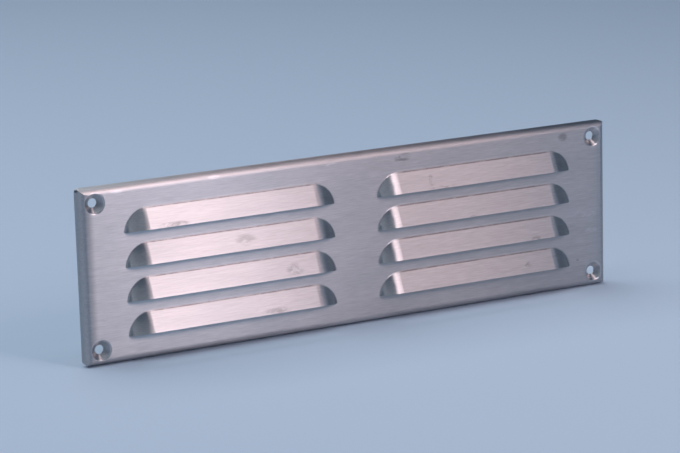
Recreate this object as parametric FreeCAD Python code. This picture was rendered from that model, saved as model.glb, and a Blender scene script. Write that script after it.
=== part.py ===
import FreeCAD, Part
import math
import os

# Louvred vent panel: one sheet of metal, pressed to a shallow tray, with two
# columns of lanced and formed hoods and four pressed screw seats.
# Millimetres. X runs along the panel, -Y is the front, +Z is up. The origin
# lies in the plane of the rim's free edge, midway between the four screws.

# Driving sizes
panel_length = 260.0    # overall, along X
panel_height = 76.0     # overall, along Z
rim_depth = 5.0         # front face to the rim's free edge
sheet = 0.9             # thickness of the metal
bend_radius = 3.0       # outside of the bend from face to rim
corner_radius = 2.0     # outside of the tray's corners, seen from the front
run_radius = 50.0       # shallow run of the face into the bends at its two ends
run_angle = 4.0         # how far that run turns the face, degrees
louvre_rows = 4
louvre_columns = 2
row_pitch = 14.9        # from one hood to the next below it
louvre_height = 10.0    # crease at the top of a hood to its cut line
hood_angle = 25.0       # slope of a hood from the face, degrees
end_length = 9.8        # length of a hood's rounded end
crown_handle = 0.42     # how far the rounded end runs on along the crown, share of its length
wall_handle = 0.62      # how far it runs on up its outer wall, share of its rise
form_radius = 0.9       # inside of the bend where a hood leaves the face
column_gap = 22.2       # between the two columns of hoods
end_margin = 20.4       # end of a hood to the end of the panel
screw_inset_x = 7.0     # screw centre to the end of the panel
screw_inset_z = 6.5     # screw centre to the long edge of the panel
screw_hole = 4.0        # diameter
seat_diameter = 8.8     # mouth of the pressed screw seat
seat_angle = 90.0       # included angle of the seat, degrees
seat_land = 0.54        # straight wall of the hole behind the seat
lip_radius = 0.15       # inside of the bend round the mouth of a seat

# Sizes that follow
face = -rim_depth
slope = math.radians(hood_angle)
louvre_length = (panel_length - 2 * end_margin - (louvre_columns - 1) * column_gap) / louvre_columns
run_turn = math.radians(run_angle)
SPARE = 0.4             # flat left round the foot of a bend in a patch
OVER = 1.0              # how far a cutting tool runs past the metal
TOUCH = 1e-5            # surfaces this near count as one when pieces are joined
NEAR = 1e-3             # places this near count as the same when edges are picked


def vec(x, y, z):
    return FreeCAD.Vector(x, y, z)


def block(x0, x1, y0, y1, z0, z1):
    return Part.makeBox(x1 - x0, y1 - y0, z1 - z0, vec(x0, y0, z0))


def tray_section(half, turn, inset, back, at):
    """Face across the tray from rim to rim, drawn by at(across, depth).

    A side is the straight rim, the bend, and a long shallow run that turns the face
    by `turn` before its flat begins. `half` is to the outside of the metal, and
    `inset` moves the outline in from there, with the arcs on the same centres.
    """
    apart = run_radius - bend_radius
    run = (half - bend_radius - apart * math.sin(turn), face + run_radius)
    bend = (half - bend_radius, run[1] - apart * math.cos(turn))
    arcs = [(bend, bend_radius, math.pi / 2, turn), (run, run_radius, turn, 0)]

    def on_arc(centre, radius, angle):
        reach = radius - inset
        return centre[0] + reach * math.sin(angle), centre[1] - reach * math.cos(angle)

    rim_x, rim_y = on_arc(bend, bend_radius, math.pi / 2)
    flat_x, flat_y = on_arc(run, run_radius, 0)
    edges = []
    for side in (-1, 1):
        edges.append(Part.makeLine(at(side * rim_x, back), at(side * rim_x, rim_y)))
        for centre, radius, start, stop in arcs:
            if start > stop:
                spots = [on_arc(centre, radius, angle) for angle in (start, (start + stop) / 2, stop)]
                edges.append(Part.Arc(*[at(side * x, y) for x, y in spots]).toShape())
    edges.append(Part.makeLine(at(-flat_x, flat_y), at(flat_x, flat_y)))
    edges.append(Part.makeLine(at(-rim_x, back), at(rim_x, back)))
    return Part.Face(Part.Wire(Part.__sortEdges__(edges)))


def tray_form(inset, back):
    """Form of the tray, `inset` inside the metal's outer surface, with mitres where the bends meet."""
    half_x = panel_length / 2
    half_z = panel_height / 2
    long_section = tray_section(half_x, run_turn, inset, back, lambda x, y: vec(x, y, -half_z))
    tall_section = tray_section(half_z, 0, inset, back, lambda z, y: vec(-half_x, y, z))
    form = long_section.extrude(vec(0, 0, panel_height))
    form = form.common(tall_section.extrude(vec(panel_length, 0, 0)))
    wide = half_x - inset
    high = half_z - inset
    plan = block(-wide, wide, face - OVER, back + OVER, -high, high)
    upright = [e for e in plan.Edges if abs(e.BoundBox.YLength - e.Length) < NEAR]
    return form.common(plan.makeFillet(corner_radius - inset, upright))


def hood_profile(inset):
    """Cross-section of a hood, square to its slope: a flat crown between two rounded ends.

    Each end is one cubic curve. For the inside of the metal its ends move in by
    `inset` and its handles shorten with the curvature, so the wall stays even.
    """
    half = louvre_length / 2
    rise = louvre_height * math.sin(slope)
    deep = 2 * louvre_height
    along = crown_handle * end_length
    up = wall_handle * rise
    crown_bend = 2 / 3 * (rise - up) / along ** 2
    wall_bend = 2 / 3 * (end_length - along) / up ** 2
    along = along * (1 - crown_bend * inset)
    up = up * (1 - wall_bend * inset)

    def at(x, m):
        return vec(x, m * math.cos(slope), -m * math.sin(slope))

    edges = []
    wall = half - inset
    crown = half - end_length
    for side in (-1, 1):
        curve = Part.BezierCurve()
        curve.setPoles([
            at(side * crown, inset),
            at(side * (crown + along), inset),
            at(side * wall, rise - up),
            at(side * wall, rise),
        ])
        edges.append(curve.toShape())
        edges.append(Part.makeLine(at(side * wall, rise), at(side * wall, deep)))
    edges.append(Part.makeLine(at(-crown, inset), at(crown, inset)))
    edges.append(Part.makeLine(at(-wall, deep), at(wall, deep)))
    return Part.Face(Part.Wire(Part.__sortEdges__(edges)))


def formed_hood(inset, front, back, radius):
    """Hood rising from a patch of face, crease on the X axis, cut off along the shear.

    The patch is only as large as the foot of the bend round the hood: the bend's
    radius beside its ends, and much less above the crease, where it turns little.
    """
    down = vec(0, -math.sin(slope), -math.cos(slope))
    reach = 2 * louvre_height
    foot = form_radius + sheet
    profile = hood_profile(inset)
    profile.translate(down * -reach)
    hood = profile.extrude(down * (2 * reach))
    wide = louvre_length / 2 + foot + SPARE
    low = -louvre_height - foot - SPARE
    high = foot * math.tan(slope / 2) + SPARE
    room = block(-wide, wide, -reach, back, low, high)
    patch = block(-wide, wide, front, back, low, high)
    body = patch.fuse(hood.common(room)).removeSplitter()
    outline = []
    for edge in body.Edges:
        box = edge.BoundBox
        flat = box.YMax - box.YMin < NEAR and abs(box.YMax - front) < NEAR
        inside = box.XMax < wide - NEAR and box.XMin > NEAR - wide and box.ZMax < high - NEAR
        if flat and inside and box.ZMax > low + NEAR:
            outline.append(edge)
    body = body.makeFillet(radius, outline)
    shear = block(-wide - OVER, wide + OVER, -2 * reach, reach, -reach, 0)
    shear.rotate(vec(0, 0, 0), vec(1, 0, 0), -hood_angle / 2)
    shear.translate(vec(0, 0, -louvre_height))
    return body.cut(shear)


def screw_seat(grow):
    """Half-section of the seat, turned about the screw: the cut (grow 0) or its back (grow sheet)."""
    half = math.radians(seat_angle / 2)
    mouth = seat_diameter / 2
    hole = screw_hole / 2
    depth = (mouth - hole) / math.tan(half)
    turn = math.pi / 2 - half
    is_cut = grow == 0
    radius = lip_radius + sheet - grow
    # the corner of the section moves out by `grow` along both of its sides
    corner = mouth + grow * math.tan(turn / 2)
    tangent = radius * math.tan(turn / 2)
    start = (corner + tangent, grow)
    stop = (corner - tangent * math.sin(half), grow + tangent * math.cos(half))
    bow = radius * (1 - math.cos(turn / 2))
    middle = (start[0] - radius * math.sin(turn / 2), grow + bow)
    tip_depth = depth if is_cut else depth + seat_land
    tip = corner - (tip_depth - grow) * math.tan(half)

    def at(point):
        return vec(point[0], face + point[1], 0)

    high = -OVER if is_cut else grow - sheet / 2
    low = depth + seat_land + (OVER if is_cut else 0)
    points = [(tip, tip_depth), (tip, low), (0, low), (0, high), (start[0], high), start]
    edges = [Part.makeLine(at(stop), at(points[0]))]
    edges.append(Part.Arc(at(start), at(middle), at(stop)).toShape())
    for a, b in zip(points, points[1:]):
        if math.dist(a, b) > NEAR:
            edges.append(Part.makeLine(at(a), at(b)))
    section = Part.Face(Part.Wire(Part.__sortEdges__(edges)))
    return section.revolve(vec(0, 0, 0), vec(0, 1, 0), 360)


def copies(shape, places):
    made = []
    for x, z in places:
        one = shape.copy()
        one.translate(vec(x, 0, z))
        made.append(one)
    return made


def spread(count, pitch):
    return [(i - (count - 1) / 2) * pitch for i in range(int(count))]


# Where the hoods and the screws are
columns = spread(louvre_columns, louvre_length + column_gap)
rows = [louvre_height / 2 + z for z in spread(louvre_rows, row_pitch)]
hoods = [(x, z) for x in columns for z in rows]
screw_x = panel_length / 2 - screw_inset_x
screw_z = panel_height / 2 - screw_inset_z
screws = [(x, z) for x in (-screw_x, screw_x) for z in (-screw_z, screw_z)]

# The tray: outside form less the hollow behind it
tray = tray_form(0, 0).cut(tray_form(sheet, OVER))

# Hoods and seats: metal raised first, then everything opened in one cut
hood_out = formed_hood(0, 0, sheet / 2, form_radius)
hood_in = formed_hood(sheet, sheet, sheet + OVER, form_radius + sheet)
hood_out.translate(vec(0, face, 0))
hood_in.translate(vec(0, face, 0))
raised = copies(hood_out, hoods) + copies(screw_seat(sheet), screws)
opened = copies(hood_in, hoods) + copies(screw_seat(0), screws)
joined = tray.multiFuse(raised, TOUCH)
panel = joined.cut(Part.makeCompound(opened)).removeSplitter().Solids[0]

os.makedirs("parts", exist_ok=True)
panel.exportStep("parts/louvre_panel.step")
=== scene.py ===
import math

import bmesh
import bpy
from mathutils import Matrix, Vector


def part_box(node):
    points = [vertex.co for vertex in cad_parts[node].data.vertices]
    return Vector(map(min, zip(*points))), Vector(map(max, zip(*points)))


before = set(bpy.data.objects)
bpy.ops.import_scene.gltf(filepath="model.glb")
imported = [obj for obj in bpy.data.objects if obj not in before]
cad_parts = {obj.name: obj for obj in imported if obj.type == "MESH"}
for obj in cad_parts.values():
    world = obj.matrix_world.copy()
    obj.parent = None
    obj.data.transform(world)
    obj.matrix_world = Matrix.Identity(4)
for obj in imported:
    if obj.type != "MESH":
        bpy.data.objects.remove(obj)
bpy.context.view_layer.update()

# Louvred vent panel in brushed stainless steel, standing on its long edge.
# Metres. X runs along the panel, -Y is its front, +Z is up.

low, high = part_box("louvre_panel")
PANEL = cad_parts["louvre_panel"]
MM = 0.001

# Sizes of the pressing that its finish follows
ROWS = 4
ROW_PITCH = 14.9 * MM
CREASE_MIDDLE = 5.0 * MM          # height midway between the top crease and the bottom one
COLUMN_X = 60.35 * MM             # middle of a column of hoods
HALF_CREASE = 36.25 * MM          # straight part of a crease, to each side of a hood's middle
CREASE_FADE = 6.0 * MM            # length over which a crease's marks fade out at its ends
SCREW_X = high.x - 7.0 * MM
SCREW_Z = high.z - 6.5 * MM
SEAT_RADIUS = 4.4 * MM

# Finish
STEEL = (0.57, 0.55, 0.56)
DARK_LINE_COLOUR = (0.20, 0.17, 0.17, 1)
PLAIN_ROUGHNESS = 0.35

# Marks of use, in mm: middle along X and Z, half their length and height, and how
# much they darken the metal. Below 0 they are bright rubs.
MARKS = (
    (-89, 19, 9, 1.6, 0.48),
    (-55, 7.5, 6, 3.0, 0.256),
    (-61, 3.2, 2.2, 1.0, 0.352),
    (-32, -8.5, 5, 3.0, 0.288),
    (-42, -25.5, 8, 2.0, 0.32),
    (37, 22, 1.6, 3.5, 0.352),
    (42, 19, 9, 1.3, 0.384),
    (57, 3.3, 2.5, 0.9, 0.40),
    (90, -11, 3, 1.6, 0.352),
    (86.5, -23, 2.2, 1.6, 0.40),
    (24, 33.5, 5, 2.6, 0.448),
    (107, 33, 3, 2.4, 0.352),
    (-68, 36, 4, 1.0, -0.40),
    (-113, 35.5, 4, 1.0, -0.32),
    (-11, 34.5, 4, 1.0, -0.288),
    (119, -4, 8, 3.5, -0.16),
    (122, -12, 4, 1.4, -0.192),
    (114.5, -25, 1.0, 0.8, 0.40),
    (-121, -17, 2, 3.0, 0.16),
)


# Nodes

def add(tree, kind, **settings):
    node = tree.nodes.new(kind)
    for name, value in settings.items():
        setattr(node, name, value)
    return node


def plug(tree, socket, value):
    """Joins a value or another node's output to an input."""
    if isinstance(value, bpy.types.NodeSocket):
        tree.links.new(value, socket)
    else:
        socket.default_value = value


def calc(tree, operation, *values):
    node = add(tree, "ShaderNodeMath", operation=operation)
    for socket, value in zip(node.inputs, values):
        plug(tree, socket, value)
    return node.outputs[0]


def vary(tree, value, pattern, amount):
    """Adds a 0 to 1 pattern to a value, centred on it."""
    return calc(tree, "MULTIPLY_ADD", calc(tree, "SUBTRACT", pattern, 0.5), amount, value)


def away(tree, value, middle):
    """How far a value is from its middle, to either side."""
    return calc(tree, "ABSOLUTE", calc(tree, "SUBTRACT", value, middle))


def fade(tree, value, start, stop, at_start=1.0, at_stop=0.0):
    """Runs smoothly from one number to another as `value` goes from start to stop."""
    node = add(tree, "ShaderNodeMapRange", interpolation_type="SMOOTHSTEP")
    node.inputs["From Min"].default_value = start
    node.inputs["From Max"].default_value = stop
    node.inputs["To Min"].default_value = at_start
    node.inputs["To Max"].default_value = at_stop
    plug(tree, node.inputs["Value"], value)
    return node.outputs["Result"]


def noise(tree, place, scale, detail, rough=0.5, distortion=0.0):
    """Noise with scale[i] cells to the metre along X, Y and Z."""
    stretch = add(tree, "ShaderNodeMapping")
    stretch.inputs["Scale"].default_value = scale
    plug(tree, stretch.inputs["Vector"], place)
    node = add(tree, "ShaderNodeTexNoise")
    node.inputs["Scale"].default_value = 1
    node.inputs["Detail"].default_value = detail
    node.inputs["Roughness"].default_value = rough
    node.inputs["Distortion"].default_value = distortion
    plug(tree, node.inputs["Vector"], stretch.outputs["Vector"])
    return node.outputs["Fac"]


def scale_colour(tree, colour, amount):
    node = add(tree, "ShaderNodeVectorMath", operation="SCALE")
    node.inputs[0].default_value = colour
    plug(tree, node.inputs["Scale"], amount)
    return node.outputs["Vector"]


def tint(tree, under, over, mask):
    """Lays the colour `over` on another by a mask."""
    node = add(tree, "ShaderNodeMix", data_type="RGBA")
    factor, colour_a, colour_b = (node.inputs[i] for i in (0, 6, 7))
    plug(tree, factor, mask)
    plug(tree, colour_a, under)
    plug(tree, colour_b, over)
    return node.outputs[2]


# Brushed steel

def crease_marks(tree, x, z):
    """Masks for a painted highlight line just above each crease and a dark brownish line just below
    it.
    """
    half_pitch = ROW_PITCH / 2
    row = calc(tree, "WRAP", calc(tree, "SUBTRACT", z, CREASE_MIDDLE), ROW_PITCH, 0.0)
    above = calc(tree, "SUBTRACT", row, half_pitch)
    across = away(tree, calc(tree, "ABSOLUTE", x), COLUMN_X)
    in_column = fade(tree, across, HALF_CREASE, HALF_CREASE + CREASE_FADE)
    in_rows = calc(tree, "LESS_THAN", away(tree, z, CREASE_MIDDLE), ROWS * half_pitch)
    on_crease = calc(tree, "MULTIPLY", in_column, in_rows)
    # painted highlight: a light line just above each crease
    crease_highlight = fade(tree, away(tree, above, 0.45 * MM), 0.10 * MM, 0.42 * MM)
    # a dark brownish line just below each crease
    below_crease_line = fade(tree, away(tree, above, -0.30 * MM), 0.12 * MM, 0.45 * MM)
    return calc(tree, "MULTIPLY", crease_highlight, on_crease), calc(tree, "MULTIPLY", below_crease_line, on_crease)


def seat_rim_highlights(tree, x, z):
    """Mask for a painted highlight on the rim round the mouth of each screw seat."""
    from_x = calc(tree, "SUBTRACT", calc(tree, "ABSOLUTE", x), SCREW_X)
    from_z = calc(tree, "SUBTRACT", calc(tree, "ABSOLUTE", z), SCREW_Z)
    squares = calc(tree, "MULTIPLY_ADD", from_x, from_x, calc(tree, "MULTIPLY", from_z, from_z))
    reach = calc(tree, "SQRT", squares)
    return fade(tree, away(tree, reach, SEAT_RADIUS), 0.1 * MM, 0.6 * MM)


def wear_marks(tree, x, z, smear, shade):
    """Darkens or lightens the shade at each mark of use, broken up by the smear."""
    patchy = fade(tree, smear, 0.40, 0.62, 0.0, 1.0)
    for middle_x, middle_z, half_length, half_height, darkening in MARKS:
        along = calc(tree, "MULTIPLY_ADD", x, 1 / (half_length * MM), -middle_x / half_length)
        up = calc(tree, "MULTIPLY_ADD", z, 1 / (half_height * MM), -middle_z / half_height)
        spread = calc(tree, "MULTIPLY_ADD", along, along, calc(tree, "MULTIPLY", up, up))
        worn = calc(tree, "MULTIPLY", fade(tree, spread, 0.1, 1.0), patchy)
        shade = calc(tree, "MULTIPLY_ADD", worn, -darkening, shade)
    return shade


def across_grain(tree, x):
    """Direction across the grain, which runs along X and, round the two end rims, along Y."""
    grain = add(tree, "ShaderNodeCombineXYZ")
    grain.inputs["X"].default_value = 1
    plug(tree, grain.inputs["Y"], x)
    across = add(tree, "ShaderNodeVectorMath", operation="CROSS_PRODUCT")
    plug(tree, across.inputs[0], add(tree, "ShaderNodeNewGeometry").outputs["Normal"])
    plug(tree, across.inputs[1], grain.outputs["Vector"])
    return across.outputs["Vector"]


def brushed_steel():
    material = bpy.data.materials.new("brushed steel")
    material.use_nodes = True
    tree = material.node_tree
    shader = tree.nodes["Principled BSDF"]
    place = add(tree, "ShaderNodeTexCoord").outputs["Object"]
    axes = add(tree, "ShaderNodeSeparateXYZ")
    plug(tree, axes.inputs["Vector"], place)
    x, y, z = axes.outputs

    # grain: hair lines along X, broader bands of them, cloudy patches and small smears
    hair = noise(tree, place, (150, 2600, 2600), detail=3, rough=0.6)
    band = noise(tree, place, (32, 620, 620), detail=3)
    cloud = noise(tree, place, (28, 28, 60), detail=3, rough=0.6)
    smear = noise(tree, place, (160, 160, 420), detail=4, rough=0.65, distortion=0.6)

    # shade of the metal, where 1 is plain, with painted highlights laid into it
    crease_highlight, below_crease_line = crease_marks(tree, x, z)
    lip = fade(tree, y, low.y, low.y + 0.45 * MM)
    # painted highlight: lightens the hoods' front edges, broken up by the smear
    lip_highlight = calc(tree, "MULTIPLY", lip, fade(tree, smear, 0.35, 0.60, 0.3, 1.0))
    shade = vary(tree, 1.0, hair, 0.55)
    shade = vary(tree, shade, band, 0.20)
    shade = vary(tree, shade, cloud, 0.22)
    # painted highlight: lightens a thin line just above each crease
    shade = calc(tree, "MULTIPLY_ADD", crease_highlight, 0.12, shade)
    # painted highlight: lightens the rim round each screw seat
    shade = calc(tree, "MULTIPLY_ADD", seat_rim_highlights(tree, x, z), 0.25, shade)
    shade = wear_marks(tree, x, z, smear, shade)
    # painted highlight along the hoods' front edges
    shade = calc(tree, "MULTIPLY_ADD", lip_highlight, 0.08, shade)
    # lays a dark brownish line just below each crease, broken up by the smear
    dark_line = calc(tree, "MULTIPLY", below_crease_line, fade(tree, smear, 0.30, 0.60, 0.45, 0.85))
    plug(tree, shader.inputs["Base Color"], tint(tree, scale_colour(tree, STEEL, shade), DARK_LINE_COLOUR, dark_line))

    roughness = vary(tree, vary(tree, PLAIN_ROUGHNESS, cloud, 0.10), hair, 0.10)
    plug(tree, shader.inputs["Roughness"], roughness)
    shader.inputs["Metallic"].default_value = 1
    shader.inputs["Anisotropic"].default_value = 1
    plug(tree, shader.inputs["Tangent"], across_grain(tree, x))
    bump = add(tree, "ShaderNodeBump")
    bump.inputs["Strength"].default_value = 0.25
    bump.inputs["Distance"].default_value = 0.01 * MM
    plug(tree, bump.inputs["Height"], hair)
    plug(tree, shader.inputs["Normal"], bump.outputs["Normal"])
    return material


# Floor, light and camera

def make_floor():
    half_size = 6.0
    mesh = bpy.data.meshes.new("floor")
    sheet = bmesh.new()
    bmesh.ops.create_grid(sheet, x_segments=1, y_segments=1, size=half_size)
    sheet.to_mesh(mesh)
    sheet.free()
    floor = bpy.data.objects.new("floor", mesh)
    bpy.context.scene.collection.objects.link(floor)
    floor.location.z = low.z - 0.5 * MM
    material = bpy.data.materials.new("pale floor")
    material.use_nodes = True
    shader = material.node_tree.nodes["Principled BSDF"]
    shader.inputs["Base Color"].default_value = (0.60, 0.71, 0.84, 1)
    shader.inputs["Roughness"].default_value = 0.8
    shader.inputs["Specular IOR Level"].default_value = 0.2
    mesh.materials.append(material)


def soft_light(name, place, facing, width, height, radiance):
    """Flat soft light whose face shows `radiance`; its power follows from its area."""
    peak = max(radiance)
    lamp = bpy.data.lights.new(name, "AREA")
    lamp.shape = "RECTANGLE"
    lamp.size = width
    lamp.size_y = height
    lamp.energy = math.pi * width * height * peak
    lamp.color = [value / peak for value in radiance]
    holder = bpy.data.objects.new(name, lamp)
    bpy.context.scene.collection.objects.link(holder)
    holder.location = place
    holder.rotation_euler = Vector(facing).to_track_quat("-Z", "Y").to_euler()


def make_light():
    back, down = (0, 1, 0), (0, 0, -1)
    # one large soft box in front and to the right, brightest along its left side
    soft_light("soft box, left side", (0.252, -0.70, 0.49), back, 0.185, 0.40, (6.7, 5.3, 5.25))
    soft_light("soft box, middle", (0.470, -0.70, 0.49), back, 0.25, 0.40, (2.55, 2.0, 2.0))
    soft_light("soft box, right side", (0.735, -0.70, 0.42), back, 0.28, 0.55, (0.42, 0.50, 0.62))
    soft_light("high fill", (0.62, -0.62, 0.82), back, 0.50, 0.36, (1.1, 0.9, 0.95))
    soft_light("low fill", (0.25, -0.75, 0.12), back, 0.18, 0.22, (0.5, 0.9, 1.35))
    soft_light("overhead", (-0.50, 0.40, 1.50), down, 2.0, 2.0, (1.5, 1.6, 1.7))
    world = bpy.data.worlds.new("room")
    bpy.context.scene.world = world
    world.use_nodes = True
    background = world.node_tree.nodes["Background"]
    background.inputs["Color"].default_value = (0.055, 0.085, 0.125, 1)
    background.inputs["Strength"].default_value = 1


def make_camera():
    """Long lens from the panel's left, looking down at it and rolled slightly."""
    azimuth = math.radians(28.014)       # how far to the right of +Y it looks
    drop = math.radians(12.740)          # how far it looks down
    roll = math.radians(1.64)
    camera = bpy.data.cameras.new("camera")
    camera.sensor_width = 36
    camera.lens = 148.55
    holder = bpy.data.objects.new("camera", camera)
    bpy.context.scene.collection.objects.link(holder)
    level = math.cos(drop)
    forward = Vector((math.sin(azimuth) * level, math.cos(azimuth) * level, -math.sin(drop)))
    level_right = forward.cross(Vector((0, 0, 1))).normalized()
    level_up = level_right.cross(forward)
    right = level_right * math.cos(roll) - level_up * math.sin(roll)
    up = level_up * math.cos(roll) + level_right * math.sin(roll)
    turn = Matrix((right, up, -forward)).transposed().to_4x4()
    holder.matrix_world = Matrix.Translation((-0.56738, -1.05624, 0.27599)) @ turn
    bpy.context.scene.camera = holder


bpy.context.scene.view_settings.view_transform = "Standard"
make_camera()
make_floor()
make_light()
PANEL.data.materials[0] = brushed_steel()
